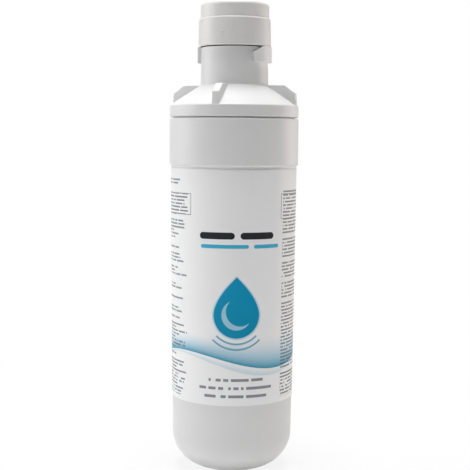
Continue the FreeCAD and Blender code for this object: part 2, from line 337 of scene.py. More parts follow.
@dataclass(frozen=True)
class SealRubber(Finish):
    """Black moulded rubber with a dusty bloom and a fine matt grain."""

    colour: Colour
    bloom: Colour
    dust: Noise = Noise(1.8, 4.0)
    dust_range: Pair = (0.45, 0.75)
    dust_cover: float = 0.5
    roughness: float = 0.46
    dust_matt: float = 0.2
    speck: Noise = Noise(0.12, 2.0)
    grain: Relief = Relief(0.25, 0.02)

    def sockets(self, board: Board) -> dict[str, Any]:
        """Dust the black with bloom and roughen it.

        Args:
            board: The material's nodes.

        Returns:
            The surface shader's inputs.
        """
        dust = board.ease(*self.dust_range, board.noise(self.dust))
        return {
            "Base Color": board.mix(dust * self.dust_cover, self.colour, self.bloom),
            "Roughness": self.roughness + self.dust_matt * dust,
            "Normal": board.bump(board.noise(self.speck), self.grain),
        }


@dataclass(frozen=True)
class PressedCarbon(Finish):
    """Carbon powder pressed into a block: matt black grains, some of them glossier and lightened
    by a painted glint.
    """

    colour: Colour
    painted_glint: Colour
    grain_size: float = 0.55
    bright: Noise = Noise(0.5, 0.0)
    bright_range: Pair = (0.62, 0.72)
    painted_glint_cover: float = 0.6
    roughness: float = 0.85
    bright_gloss: float = 0.35
    grain: Relief = Relief(0.6, 0.12)

    def sockets(self, board: Board) -> dict[str, Any]:
        """Pack grains beside each other.

        Args:
            board: The material's nodes.

        Returns:
            The surface shader's inputs.
        """
        bright = board.ease(*self.bright_range, board.noise(self.bright))
        return {
            # The lighter colour on the glossy grains is a painted glint; their lower roughness
            # below is real gloss.
            "Base Color": board.mix(bright * self.painted_glint_cover, self.colour, self.painted_glint),
            "Roughness": self.roughness - self.bright_gloss * bright,
            "Normal": board.bump(1.0 - board.cells(self.grain_size), self.grain),
        }


@dataclass(frozen=True)
class FilterFleece(Finish):
    """Non-woven fleece: fibres that run every way, with thin and thick places."""

    colour: Colour
    thin: Colour
    upright: Noise = Noise(0.3, 3.0, (1.0, 1.0, 0.08))
    level: Noise = Noise(0.3, 3.0, (0.08, 0.08, 1.0))
    tangle: Noise = Noise(1.1, 5.0)
    tangle_share: float = 0.4
    thick_range: Pair = (0.4, 0.65)
    roughness: float = 0.8
    tangle_matt: float = 0.15
    nap: Relief = Relief(0.7, 0.15)

    def sockets(self, board: Board) -> dict[str, Any]:
        """Cross fibres in three directions.

        Args:
            board: The material's nodes.

        Returns:
            The surface shader's inputs.
        """
        straight = board.noise(self.upright).most(board.noise(self.level))
        tangle = board.noise(self.tangle)
        fibres = straight * (1.0 - self.tangle_share) + tangle * self.tangle_share
        return {
            "Base Color": board.mix(board.ease(*self.thick_range, fibres), self.thin, self.colour),
            "Roughness": self.roughness + self.tangle_matt * tangle,
            "Normal": board.bump(fibres, self.nap),
        }


@dataclass(frozen=True)
class HotMelt(Finish):
    """Set hot-melt adhesive: amber, glossy, with trapped bubbles."""

    colour: Colour
    deep: Colour
    pool: Noise = Noise(4.0, 3.0)
    pool_share: float = 0.7
    bubble_size: float = 1.6
    bubble_edge: float = 0.3
    roughness: float = 0.25
    pool_matt: float = 0.2
    pits: Relief = Relief(0.4, 0.1)

    def sockets(self, board: Board) -> dict[str, Any]:
        """Sink bubbles into the amber.

        Args:
            board: The material's nodes.

        Returns:
            The surface shader's inputs.
        """
        pool = board.noise(self.pool)
        bubble = 1.0 - board.ease(0.0, self.bubble_edge, board.cells(self.bubble_size))
        depth = pool * self.pool_share + bubble * (1.0 - self.pool_share)
        return {
            "Base Color": board.mix(depth, self.colour, self.deep),
            "Roughness": self.roughness + self.pool_matt * pool,
            "Normal": board.bump(bubble, self.pits),
        }


def length(across: Wire, rise: Wire) -> Wire:
    """Return the length of a way across and up."""
    return (across * across + rise * rise).root()


@dataclass(frozen=True)
class Span:
    """A stretch between two places."""

    low: float
    high: float

    def past(self, place: Wire) -> Wire:
        """Measure how far a place is outside the stretch, below zero inside."""
        return abs(place - (self.low + self.high) / 2) - (self.high - self.low) / 2


@dataclass(frozen=True)
class FilmSpot:
    """A place on the film: along it from the print's middle, and its height."""

    along: Wire
    up: Wire

    def reach(self, along: float, up: float) -> Wire:
        """Measure how far away another place is."""
        return length(self.along - along, self.up - up)


@dataclass(frozen=True)
class Bar:
    """A bar with round ends that stands in for a word."""

    along: float
    up: float
    half_length: float
    half_height: float


@dataclass(frozen=True)
class Strokes:
    """Rows of strokes that stand in for small print. The half height is a share of the pitch."""

    pitch: float
    half_height: float
    word: float
    gap: float
    row_seed: float


@dataclass(frozen=True)
class Column:
    """A column of small print, with a framed block near its top."""

    width: Span
    rows: Span
    block: Span
    seed: float
    blank: float
    ragged: float


@dataclass(frozen=True)
class PrintedFilm(Finish):
    """Printed wrap film: white, with a plain water motif and strokes in place of words."""

    white: Colour = paint(249, 249, 250)
    black: Colour = paint(38, 40, 44)
    sky: Colour = paint(70, 182, 218)
    teal: Colour = paint(6, 152, 194)
    deep: Colour = paint(44, 152, 182)
    pale: Colour = paint(178, 218, 232)
    grey: Colour = paint(92, 94, 100)
    wrap_radius: float = 32.0
    middle: float = 2.0
    edge: float = 0.09
    ink_cover: float = 0.8
    heading: tuple[Bar, ...] = (Bar(-10.2, 123.5, 9.0, 1.7), Bar(10.5, 123.5, 8.9, 1.7))
    subheading: tuple[Bar, ...] = (Bar(-6.4, 118.2, 12.2, 0.95), Bar(15.6, 118.2, 7.2, 0.95))
    drop_middle: float = 84.0
    drop_tip: float = 103.0
    drop_radius: float = 11.7
    drop_taper: float = 1.7
    drop_shade: float = 0.9
    halo: float = 0.8
    halo_cover: float = 0.75
    crescent_outer: float = 7.6
    crescent_inner: float = 7.3
    crescent_middle: Pair = (1.9, 85.7)
    ripple_radii: Pair = (14.6, 17.4)
    ripple_width: float = 0.45
    ripple_sector: Pair = (0.70, 0.74)
    ripple_least: float = 0.1
    swells: float = 2.0
    crest: float = 60.4
    crest_swing: float = 4.1
    crest_shift: float = 4.0
    ribbon_drop: float = 2.4
    ribbon_swing: float = 1.5
    ribbon_shift: float = 20.0
    ribbon_cover: float = 0.5
    fade_top: float = 74.5
    fade_power: float = 1.7
    deep_power: float = 3.0
    note_strokes: Strokes = Strokes(4.15, 0.17, 1.3, 0.15, 61.0)
    note_top: float = 53.2
    note_seed: float = 7.0
    note_rows: int = 3
    note_half: float = 14.2
    note_swing: float = 5.4
    note_wave: float = 1.35
    small_strokes: Strokes = Strokes(1.72, 0.24, 0.95, 0.13, 53.0)
    columns: tuple[Column, ...] = (
        Column(Span(-84.0, -24.9), Span(40.5, 151.5), Span(133.4, 143.9), 11.0, 0.26, 14.0),
        Column(Span(24.6, 84.0), Span(40.5, 146.0), Span(131.7, 144.0), 47.0, 0.1, 9.0),
    )
    blank_seed: float = 3.7
    ragged_seed: float = 5.3
    block_fill: float = 0.8
    block_line: float = 0.17
    inset: float = 1.4
    roughness: float = 0.4
    specular: float = 0.12
    tint: Noise = Noise(9.0, 3.0)
    tint_tone: float = 0.99
    tint_gloss: float = 0.08
    ink_gloss: float = 0.05
    waves: Noise = Noise(14.0, 1.0)
    lie: Relief = Relief(0.15, 0.1)

    def within(self, distance: Wire) -> Wire:
        """Return the cover of a shape from the distance past its outline."""
        return 1.0 - distance.board.ease(-self.edge, self.edge, distance)

    def bar(self, spot: FilmSpot, bar: Bar) -> Wire:
        """Draw a bar and return its cover."""
        across = (abs(spot.along - bar.along) - (bar.half_length - bar.half_height)).most(0.0)
        return self.within(length(across, spot.up - bar.up) - bar.half_height)

    def bars(self, spot: FilmSpot, bars: Sequence[Bar]) -> Wire:
        """Draw several bars and return their common cover."""
        return reduce(Wire.most, [self.bar(spot, bar) for bar in bars])

    def drop_outline(self, spot: FilmSpot) -> Wire:
        """Measure how far a place is outside the drop, round below and drawn out to a tip above.

        Args:
            spot: The place on the film.

        Returns:
            The distance past the outline, below zero inside.
        """
        sink = (self.drop_middle - spot.up).most(0.0)
        climb = ((spot.up - self.drop_middle) / (self.drop_tip - self.drop_middle)).most(0.0)
        width = self.drop_radius * (1.0 - climb ** self.drop_taper)
        return length(spot.along, sink) - width

    def crescent(self, spot: FilmSpot) -> Wire:
        """Draw the highlight inside the drop and return its cover."""
        inner = self.crescent_inner - spot.reach(*self.crescent_middle)
        return self.within((spot.reach(0.0, self.drop_middle) - self.crescent_outer).most(inner))

    def ripples(self, spot: FilmSpot) -> Wire:
        """Draw the ripple arcs under the drop.

        Args:
            spot: The place on the film.

        Returns:
            Their cover.
        """
        reach = spot.reach(0.0, self.drop_middle)
        fall = (self.drop_middle - spot.up) / reach.most(self.ripple_least)
        rings = [abs(reach - radius) - self.ripple_width for radius in self.ripple_radii]
        return self.within(reduce(Wire.least, rings)) * reach.board.ease(*self.ripple_sector, fall)

    def rows(self, spot: FilmSpot, strokes: Strokes, top: float, seed: float) -> tuple[Wire, Wire]:
        """Draw rows of strokes without end.

        Args:
            spot: The place on the film.
            strokes: Their sizes.
            top: Height where the first row starts.
            seed: Number that chance starts from.

        Returns:
            The row's number and the cover.
        """
        count = (top - spot.up) / strokes.pitch
        row = count.floor()
        bar = self.within((abs(count.fraction() - 0.5) - strokes.half_height) * strokes.pitch)
        number = (spot.along / strokes.word).floor() + row * strokes.row_seed + seed
        return row, bar * row.board.chance(number).above(strokes.gap)

    def note(self, spot: FilmSpot) -> Wire:
        """Draw a few centred rows near the film's foot.

        Args:
            spot: The place on the film.

        Returns:
            Their cover.
        """
        row, cover = self.rows(spot, self.note_strokes, self.note_top, self.note_seed)
        inside = row.above(-0.5) * row.below(self.note_rows - 0.5)
        half = self.note_half + self.note_swing * (row * self.note_wave).sine().most(0.0)
        return cover * inside * self.within(abs(spot.along) - half)

    def small_print(self, spot: FilmSpot, column: Column) -> Wire:
        """Draw a column of strokes and its framed block.

        Args:
            spot: The place on the film.
            column: The column's places.

        Returns:
            Its cover.
        """
        row, cover = self.rows(spot, self.small_strokes, column.rows.high, column.seed)
        chance = row.board.chance
        in_block = column.block.past(spot.up).below(0.0)
        kept = chance(row * self.blank_seed + column.seed).above(column.blank).most(in_block)
        ragged = chance(row * self.ragged_seed + column.seed * 2.0) * column.ragged
        short = ragged * (1.0 - in_block * self.block_fill)
        right = spot.along + short - column.width.high + self.inset
        sides = self.within(right.most(column.width.low + self.inset - spot.along))
        ends = self.within(column.rows.past(spot.up))
        block = column.width.past(spot.along).most(column.block.past(spot.up))
        return (cover * kept * sides * ends).most(self.within(abs(block) - self.block_line))

    def sockets(self, board: Board) -> dict[str, Any]:
        """Print the film, one ink over the other.

        Args:
            board: The material's nodes.

        Returns:
            The surface shader's inputs.
        """
        east = board.add("ShaderNodeSeparateXYZ", {"Vector": board.place()})
        turn = east.bearing(-east.beside("Y"))
        spot = FilmSpot(turn * self.wrap_radius - self.middle, east.beside("Z") * (1.0 / MM))
        swell = self.swells / self.wrap_radius
        crest = self.crest - self.crest_swing * ((spot.along + self.crest_shift) * swell).sine()
        sway = self.ribbon_swing * ((spot.along + self.ribbon_shift) * swell).sine()
        ribbon = crest - self.ribbon_drop - sway
        fade = ((self.fade_top - spot.up) / (self.fade_top - crest)).most(0.0).least(1.0)
        trail = board.ease(0.0, 1.0, (crest - spot.up) / (crest - ribbon))
        trail = trail * self.within(ribbon - spot.up) * self.within(spot.up - crest)
        drop = self.drop_outline(spot)
        depth = board.ease(self.drop_middle - self.drop_radius, self.drop_tip, spot.up)
        words = self.bars(spot, self.heading)
        small = [self.note(spot), *(self.small_print(spot, column) for column in self.columns)]
        inks = (
            (trail * self.ribbon_cover, self.pale),
            (
                fade ** self.fade_power * self.within(crest - spot.up),
                board.mix(fade ** self.deep_power, self.sky, self.deep),
            ),
            (self.within(drop - self.halo) * self.halo_cover, self.pale),
            (self.within(drop), board.mix(depth, toned(self.teal, self.drop_shade), self.teal)),
            (self.crescent(spot) * self.ink_cover, self.pale),
            (self.ripples(spot) * self.ink_cover, self.deep),
            (words, self.black),
            (self.bars(spot, self.subheading), self.sky),
            (reduce(Wire.most, small) * self.ink_cover, self.grey),
        )
        tint = board.noise(self.tint)
        colour = board.mix(tint, toned(self.white, self.tint_tone), self.white)
        for cover, ink in inks:
            colour = board.mix(cover, colour, ink)
        clouded = self.roughness + self.tint_gloss * (tint - NOISE_MEAN)
        return {
            "Base Color": colour,
            "Roughness": clouded - self.ink_gloss * words,
            "Normal": board.bump(board.noise(self.waves), self.lie),
            "Specular IOR Level": self.specular,
        }


WHITE_HOUSING = MouldedPlastic("white_housing_plastic", paint(226, 226, 226))
WHITE_COVER = MouldedPlastic(
    "white_cover_plastic", paint(226, 224, 223), roughness=0.4, flow=Noise(14.0, 2.0)
)
NATURAL_CAP = MouldedPlastic(
    "natural_cap_plastic", paint(214, 214, 208), roughness=0.36, flow_tone=0.05
)
BLACK_SEAL = SealRubber("black_seal_rubber", paint(26, 26, 27), paint(62, 61, 60))
# The second colour is a painted glint on some of the grains.
CARBON = PressedCarbon("pressed_carbon_grains", paint(20, 20, 21), paint(78, 79, 82))
FLEECE = FilterFleece("filter_fleece_fibres", paint(232, 231, 226), paint(208, 206, 200))
AMBER_MELT = HotMelt("amber_hot_melt", paint(226, 208, 158), paint(190, 160, 100))
FILM = PrintedFilm("printed_film")


@dataclass(frozen=True)
class Corner:
    """A corner of a profile in the plane of the axis, rounded or sharp."""

    radius: float
    height: float
    rounding: float = 0.0

    @property
    def spot(self) -> Vector:
        """The corner in metres."""
        return Vector((self.radius, 0.0, self.height)) * MM


@dataclass
class ProfilePen:
    """Draws a profile in a bmesh, one vertex out of the last."""

    mesh: Shape
    corners: Sequence[Corner]
    tip: Vert | None = None

    def line_to(self, place: Vector) -> None:
        """Draw a straight run, with a short run at each end that keeps its shading flat.

        Args:
            place: Where it ends.
        """
        if self.tip is None:
            self.tip = bmesh.ops.create_vert(self.mesh, co=place)["vert"][0]
            return
        start = self.tip.co.copy()
        run = place - start
        if run.length < MERGE_DISTANCE:
            return
        share = SUPPORT_RUN * MM / run.length
        for stop in (share, 1.0 - share, 1.0) if share < SUPPORT_SHARE else (1.0,):
            self.tip = bmesh.ops.extrude_vert_indiv(self.mesh, verts=[self.tip])["verts"][0]
            self.tip.co = start + run * stop

    def turn_at(self, before: Corner, corner: Corner, after: Corner) -> None:
        """Draw up to a corner and round it.

        Args:
            before: The corner before.
            corner: The corner to round.
            after: The corner after.
        """
        if corner.rounding == 0.0:
            self.line_to(corner.spot)
            return
        back = (before.spot - corner.spot).normalized()
        ahead = (after.spot - corner.spot).normalized()
        half = back.angle(ahead) / 2
        rounding = corner.rounding * MM
        centre = corner.spot + (back + ahead).normalized() * (rounding / math.sin(half))
        self.line_to(corner.spot + back * (rounding / math.tan(half)))
        first = self.tip.co - centre
        last = corner.spot + ahead * (rounding / math.tan(half)) - centre
        angle = math.atan2(first.cross(last).y, first.dot(last))
        steps = max(LEAST_ARC_STEPS, math.ceil(abs(angle) * corner.rounding / ARC_STEP))
        swept = bmesh.ops.spin(
            self.mesh, geom=[self.tip], cent=centre, axis=(0.0, 1.0, 0.0), angle=angle, steps=steps
        )
        self.tip = next(item for item in swept["geom_last"] if isinstance(item, Vert))

    def draw(self) -> None:
        """Draw the whole profile, and close it where it doesn't start on the axis."""
        count = len(self.corners)
        for index, corner in enumerate(self.corners):
            self.turn_at(self.corners[index - 1], corner, self.corners[(index + 1) % count])
        if self.corners[0].radius > 0.0:
            self.mesh.verts.ensure_lookup_table()
            first = self.mesh.verts[0]
            self.line_to(first.co.copy())
            bmesh.ops.remove_doubles(self.mesh, verts=[first, self.tip], dist=MERGE_DISTANCE)


def box_section(inner: float, outer: float, low: float, high: float) -> list[Corner]:
    """Return the sharp corners of a section with four sides."""
    places = ((inner, low), (outer, low), (outer, high), (inner, high))
    return [Corner(radius, height) for radius, height in places]


def around(count: int, start: float = 0.0) -> list[float]:
    """Return angles that are spread evenly round the axis."""
    return [start + FULL_TURN * index / count for index in range(count)]


def close_up(mesh: Shape) -> None:
    """Merge what meets, close open ends and turn every face outwards.

    Args:
        mesh: The shape.
    """
    bmesh.ops.remove_doubles(mesh, verts=mesh.verts[:], dist=MERGE_DISTANCE)
    bmesh.ops.dissolve_degenerate(mesh, dist=MERGE_DISTANCE, edges=mesh.edges[:])
    bmesh.ops.holes_fill(mesh, edges=mesh.edges[:], sides=0)
    bmesh.ops.recalc_face_normals(mesh, faces=mesh.faces[:])


def swing(mesh: Shape, angle: float) -> None:
    """Turn a shape that lies along X to an angle from the front."""
    turn = Matrix.Rotation(math.radians(FRONT + angle), 3, "Z")
    bmesh.ops.rotate(mesh, verts=mesh.verts[:], cent=ORIGIN, matrix=turn)


def sweep(mesh: Shape, arc: float = FULL_TURN, steps: int = ROUND_STEPS) -> None:
    """Turn a section about the axis into a closed shape.

    Args:
        mesh: The section, which becomes the shape.
        arc: How far it turns.
        steps: How many steps that takes.
    """
    bmesh.ops.spin(
        mesh,
        geom=mesh.verts[:] + mesh.edges[:],
        cent=ORIGIN,
        axis=UPRIGHT,
        angle=math.radians(arc),
        steps=steps,
        use_merge=arc == FULL_TURN,
    )
    close_up(mesh)


def turned(
    corners: Sequence[Corner],
    start: float = 0.0,
    arc: float = FULL_TURN,
    steps: int = ROUND_STEPS,
) -> Shape:
    """Turn a profile about the axis.

    Args:
        corners: The profile's corners.
        start: Angle where the turn starts, from the front.
        arc: How far it turns.
        steps: How many steps that takes.

    Returns:
        The closed shape.
    """
    mesh = bmesh.new()
    ProfilePen(mesh, corners).draw()
    swing(mesh, start)
    sweep(mesh, arc, steps)
    return mesh


def soften(mesh: Shape, edges: Sequence[bmesh.types.BMEdge], rounding: float) -> None:
    """Round some edges of a moulded shape.

    Args:
        mesh: The shape.
        edges: Its edges to round.
        rounding: How far.
    """
    bmesh.ops.bevel(
        mesh,
        geom=edges,
        offset=rounding * MM,
        offset_type="OFFSET",
        affect="EDGES",
        segments=BEVEL_STEPS,
        profile=0.5,
        material=-1,
        clamp_overlap=True,
    )


def smoothed(data: bpy.types.Mesh) -> None:
    """Shade a mesh smooth, with its true corners kept sharp."""
    data.shade_smooth()
    data.set_sharp_from_angle(angle=SHARP_ANGLE)


def piece_from(mesh: Shape, name: str) -> Piece:
    """Make an object of a bmesh, which is used up.

    Args:
        mesh: The shape.
        name: The object's name.

    Returns:
        The object, in the scene.
    """
    data = bpy.data.meshes.new(name)
    mesh.to_mesh(data)
    mesh.free()
    smoothed(data)
    piece = bpy.data.objects.new(name, data)
    bpy.context.scene.collection.objects.link(piece)
    return piece


def carve(piece: Piece, tools: Sequence[Piece], carving: Carving) -> None:
    """Join other shapes to a piece or cut them out of it, and use them up.

    Args:
        piece: The piece that changes.
        tools: The shapes that are joined or cut.
        carving: Which of the two.
    """
    for tool in tools:
        step = piece.modifiers.new(tool.name, "BOOLEAN")
        step.operation = carving.value
        step.solver = "EXACT"
        step.object = tool
    result = piece.evaluated_get(bpy.context.evaluated_depsgraph_get())
    shaped = bpy.data.meshes.new_from_object(result)
    piece.modifiers.clear()
    plain = piece.data
    piece.data = shaped
    shaped.name = piece.name
    for used in (plain, *(tool.data for tool in tools)):
        bpy.data.meshes.remove(used)
    mesh = bmesh.new()
    mesh.from_mesh(shaped)
    bmesh.ops.remove_doubles(mesh, verts=mesh.verts[:], dist=MERGE_DISTANCE)
    mesh.to_mesh(shaped)
    mesh.free()
    smoothed(shaped)


class SubAssembly(ABC):
    """A group of pieces that is built and dressed together."""

    @abstractmethod
    def build(self) -> list[Piece]:
        """Build the meshes and return the pieces."""

    @abstractmethod
    def dress(self, pieces: list[Piece]) -> None:
        """Give the pieces their finish and tie them to the frame."""


def coat(piece: Piece, finish: Finish) -> None:
    """Give a piece one finish all over."""
    piece.data.materials.clear()
    piece.data.materials.append(finish.material())


def fit(piece: Piece, finish: Finish, body: Body, node: str) -> None:
    """Dress a new piece and tie it to the frame.

    Args:
        piece: The piece.
        finish: Its finish.
        body: The body that it rides on.
        node: The frame's node that it stands for.
    """
    coat(piece, finish)
    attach(piece, body.value)
    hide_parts(node)


@dataclass
class Can(SubAssembly):
    """The lower housing: a drafted can with a rounded base and a weld collar."""

    height: float = 181.7
    top_radius: float = 32.35
    draft: float = 0.52
    wall: float = 2.6
    floor: float = 3.0
    base_round: float = 19.0
    collar_height: float = 24.2
    collar_step: float = 0.95
    collar_wall: float = 2.0
    collar_edge: float = 1.1
    collar_lip: float = 0.7
    socket_depth: float = 12.0
    recess_radius: float = 5.0
    recess_depth: float = 0.6
    stub_radius: float = 1.3
    stub_height: float = 0.4
    fine_edge: float = 0.15

    def __post_init__(self) -> None:
        """Work out the radii and heights that follow from the sizes."""
        self.collar_low = self.height - self.collar_height
        self.collar_radius = self.top_radius + self.collar_step
        self.socket_radius = self.collar_radius - self.collar_wall
        self.socket_floor = self.height - self.socket_depth

    def radius_at(self, height: float) -> float:
        """Return the outer radius of the drafted wall at a height."""
        return self.top_radius - (self.collar_low - height) * math.tan(math.radians(self.draft))

    def build(self) -> list[Piece]:
        """Turn the can in one piece.

        Returns:
            The can alone.
        """
        stub_low = self.recess_depth - self.stub_height
        foot_radius = self.radius_at(0.0)
        profile = [
            Corner(0.0, stub_low),
            Corner(self.stub_radius, stub_low, self.fine_edge),
            Corner(self.stub_radius, self.recess_depth),
            Corner(self.recess_radius, self.recess_depth, self.fine_edge),
            Corner(self.recess_radius, 0.0, self.fine_edge),
            Corner(foot_radius, 0.0, self.base_round),
            Corner(self.top_radius, self.collar_low),
            Corner(self.collar_radius, self.collar_low, self.collar_edge),
            Corner(self.collar_radius, self.height, self.collar_lip),
            Corner(self.socket_radius, self.height, self.fine_edge),
            Corner(self.socket_radius, self.socket_floor),
            Corner(self.radius_at(self.socket_floor) - self.wall, self.socket_floor),
            Corner(foot_radius - self.wall, self.floor, self.base_round - self.wall),
            Corner(0.0, self.floor),
        ]
        return [piece_from(turned(profile), "can")]

    def dress(self, pieces: list[Piece]) -> None:
        """Finish the can in white."""
        fit(pieces[0], WHITE_HOUSING, Body.HOUSING, "lower_housing")


@dataclass
class WrapLabel(SubAssembly):
    """The printed film round the can, open by a narrow strip at the back."""

    can: Can
    top_gap: float = 1.2
    height: float = 118.3
    thickness: float = 0.12
    glue: float = 0.15
    opening: float = 2.5
    steps: int = 240

    def build(self) -> list[Piece]:
        """Wrap the film.

        Returns:
            The film alone.
        """
        top = self.can.collar_low - self.top_gap
        low = top - self.height
        inner_low = self.can.radius_at(low) + self.glue
        inner_top = self.can.radius_at(top) + self.glue
        profile = [
            Corner(inner_low, low),
            Corner(inner_low + self.thickness, low),
            Corner(inner_top + self.thickness, top),
            Corner(inner_top, top),
        ]
        opening = math.degrees(self.opening / self.can.radius_at(low))
        start = (FULL_TURN + opening) / 2
        wrap = turned(profile, start, FULL_TURN - opening, self.steps)
        return [piece_from(wrap, "wrap_label")]

    def dress(self, pieces: list[Piece]) -> None:
        """Print the film."""
        fit(pieces[0], FILM, Body.HOUSING, "label")


@dataclass(frozen=True)
class SealSeat:
    """An O-ring and the groove that it sits in."""

    node: str
    stage_radius: float
    section: float
    rise: float
    proud: float = 0.4
    side_room: float = 0.6
    play: float = 0.02

    @property
    def bottom(self) -> float:
        """Radius of the groove's bottom."""
        return self.stage_radius + self.proud - self.section

    @property
    def ring_radius(self) -> float:
        """Radius of the ring's middle line."""
        return self.bottom + self.play + self.section / 2

    @property
    def reach(self) -> float:
        """Radius that the ring reaches out to."""
        return self.bottom + self.play + self.section

    def groove(self, foot: float, edge: float) -> list[Corner]:
        """Return the groove's corners, upwards.

        Args:
            foot: Height that the seat's rise is counted from.
            edge: Rounding of the corners.

        Returns:
            Four corners.
        """
        half = (self.section + self.side_room) / 2
        low, high = foot + self.rise - half, foot + self.rise + half
        heights = (low, low, high, high)
        radii = (self.stage_radius, self.bottom, self.bottom, self.stage_radius)
        return [Corner(radius, height, edge) for radius, height in zip(radii, heights)]


@dataclass
class Head(SubAssembly):
    """The upper housing: rim, ribbed shoulder, neck with bayonet lugs, and sealed spigot."""

    can: Can
    weld_clearance: float = 0.1
    tongue_wall: float = 2.2
    seam_gap: float = 0.6
    rim_setback: float = 0.08
    rim_height: float = 5.9
    rim_edge: float = 0.9
    rim_seam: float = 0.5
    shoulder_rise: float = 10.4
    shoulder_wall: float = 2.8
    neck_foot_radius: float = 17.5
    neck_foot_round: float = 0.5
    neck_top_radius: float = 17.05
    neck_rise: float = 19.55
    neck_gap: float = 0.5
    neck_wall: float = 2.8
    neck_step: float = 3.5
    lower_seat: SealSeat = SealSeat("lower_seal_ring", 16.35, 2.8, 1.7)
    upper_seat: SealSeat = SealSeat("upper_seal_ring", 15.4, 2.4, 3.2)
    lower_stage_height: float = 12.0
    upper_stage_height: float = 7.8
    nose: float = 0.8
    spigot_wall: float = 1.9
    spigot_roof: float = 3.0
    outlet_radius: float = 5.0
    boss_bore: float = 7.0
    boss_wall: float = 1.6
    boss_length: float = 22.0
    fine_edge: float = 0.15
    rib_count: int = 4
    rib_phase: float = -16.4
    rib_thickness: float = 3.8
    rib_root: float = 1.0
    rib_lift: float = 0.1
    rib_flat: float = 26.8
    rib_end: float = 6.4
    rib_lean: float = 0.6
    rib_inset: float = 0.1
    rib_round: float = 0.4
    lug_count: int = 2
    lug_start: float = 30.7
    lug_arc: float = 55.0
    lug_reach: float = 2.1
    lug_height: float = 8.2
    lug_root: float = 0.3
    lug_round: float = 0.7
    lug_steps: int = 32
    ramp_length: float = 7.2
    ramp_drop: float = 3.5
    window_count: int = 4
    window_arc: float = 50.0
    window_height: float = 3.4
    window_rise: float = 8.0
    window_steps: int = 24

    def __post_init__(self) -> None:
        """Work out the radii and heights that follow from the sizes."""
        self.rim_low = self.can.height + self.seam_gap
        self.rim_top = self.rim_low + self.rim_height
        self.rim_radius = self.can.collar_radius - self.rim_setback
        self.neck_foot = self.rim_top + self.shoulder_rise
        self.lug_top = self.neck_foot + self.neck_rise
        self.neck_top = self.lug_top - self.neck_gap
        self.stage_step = self.lug_top + self.lower_stage_height
        self.spigot_top = self.stage_step + self.upper_stage_height
        self.spigot_bore = min(self.lower_seat.bottom, self.upper_seat.bottom) - self.spigot_wall
        self.slope = self.shoulder_rise / (self.rim_radius - self.neck_foot_radius)

    def shoulder_height(self, radius: float) -> float:
        """Return the height of the cone shoulder at a radius."""
        return self.neck_foot - (radius - self.neck_foot_radius) * self.slope

    def shell(self) -> Piece:
        """Turn the head without its ribs, lugs and windows.

        Returns:
            The plain head.
        """
        tongue_radius = self.can.socket_radius - self.weld_clearance
        tongue_bore = tongue_radius - self.tongue_wall
        under = math.hypot(self.slope, 1.0) * self.shoulder_wall
        neck_bore = self.neck_top_radius - self.neck_wall
        inner_step = self.lug_top - self.neck_step
        lower_stage = self.lower_seat.stage_radius
        upper_stage = self.upper_seat.stage_radius
        roof_low = self.spigot_top - self.spigot_roof
        boss_low = roof_low - self.boss_length
        boss_radius = self.boss_bore + self.boss_wall
        profile = [
            Corner(tongue_bore, self.can.socket_floor),
            Corner(tongue_radius, self.can.socket_floor, self.fine_edge),
            Corner(tongue_radius, self.rim_low),
            Corner(self.rim_radius, self.rim_low, self.rim_seam),
            Corner(self.rim_radius, self.rim_top, self.rim_edge),
            Corner(self.neck_foot_radius, self.neck_foot, self.neck_foot_round),
            Corner(self.neck_top_radius, self.neck_top, self.fine_edge),
            *self.lower_seat.groove(self.neck_top, self.fine_edge)[1:],
            Corner(lower_stage, self.stage_step - (lower_stage - upper_stage), self.fine_edge),
            Corner(upper_stage, self.stage_step, self.fine_edge),
            *self.upper_seat.groove(self.stage_step, self.fine_edge),
            Corner(upper_stage, self.spigot_top - self.nose, self.fine_edge),
            Corner(upper_stage - self.nose, self.spigot_top, self.fine_edge),
            Corner(self.outlet_radius, self.spigot_top, self.fine_edge),
            Corner(self.outlet_radius, roof_low),
            Corner(self.boss_bore, roof_low),
            Corner(self.boss_bore, boss_low),
            Corner(boss_radius, boss_low),
            Corner(boss_radius, roof_low),
            Corner(self.spigot_bore, roof_low),
            Corner(self.spigot_bore, inner_step),
            Corner(neck_bore, inner_step),
            Corner(neck_bore, self.shoulder_height(neck_bore) - under),
            Corner(tongue_bore, self.shoulder_height(tongue_bore) - under),
        ]
        return piece_from(turned(profile), "head")

    def rib(self, phase: float) -> Piece:
        """Make one rib, a flat blade with softened edges.

        Args:
            phase: Its angle from the front.

        Returns:
            The rib.
        """
        root = self.neck_foot_radius - self.rib_root
        tip = self.rim_radius - self.rib_inset
        crest_height = self.neck_foot + self.rib_lift
        profile = [
            Corner(root, self.shoulder_height(root) - self.rib_root),
            Corner(tip, self.rim_top - self.rib_root),
            Corner(tip - self.rib_lean, self.rim_top + self.rib_end),
            Corner(self.rib_flat, crest_height),
            Corner(root, crest_height),
        ]
        mesh = bmesh.new()
        ProfilePen(mesh, profile).draw()
        bmesh.ops.dissolve_limit(
            mesh, angle_limit=FLAT_ANGLE, verts=mesh.verts[:], edges=mesh.edges[:]
        )
        side = bmesh.ops.edgeloop_fill(mesh, edges=mesh.edges[:])["faces"]
        grown = bmesh.ops.extrude_face_region(mesh, geom=side, use_keep_orig=True)["geom"]
        moved = [item for item in grown if isinstance(item, Vert)]
        half = self.rib_thickness * MM / 2
        bmesh.ops.translate(mesh, verts=moved, vec=(0.0, 2 * half, 0.0))
        bmesh.ops.translate(mesh, verts=mesh.verts[:], vec=(0.0, -half, 0.0))
        close_up(mesh)
        crest = []
        for edge in mesh.edges:
            spot = (edge.verts[0].co + edge.verts[1].co) / (2 * MM)
            if spot.z > self.shoulder_height(spot.x):
                crest.append(edge)
        soften(mesh, crest, self.rib_round)
        swing(mesh, phase)
        return piece_from(mesh, "rib")

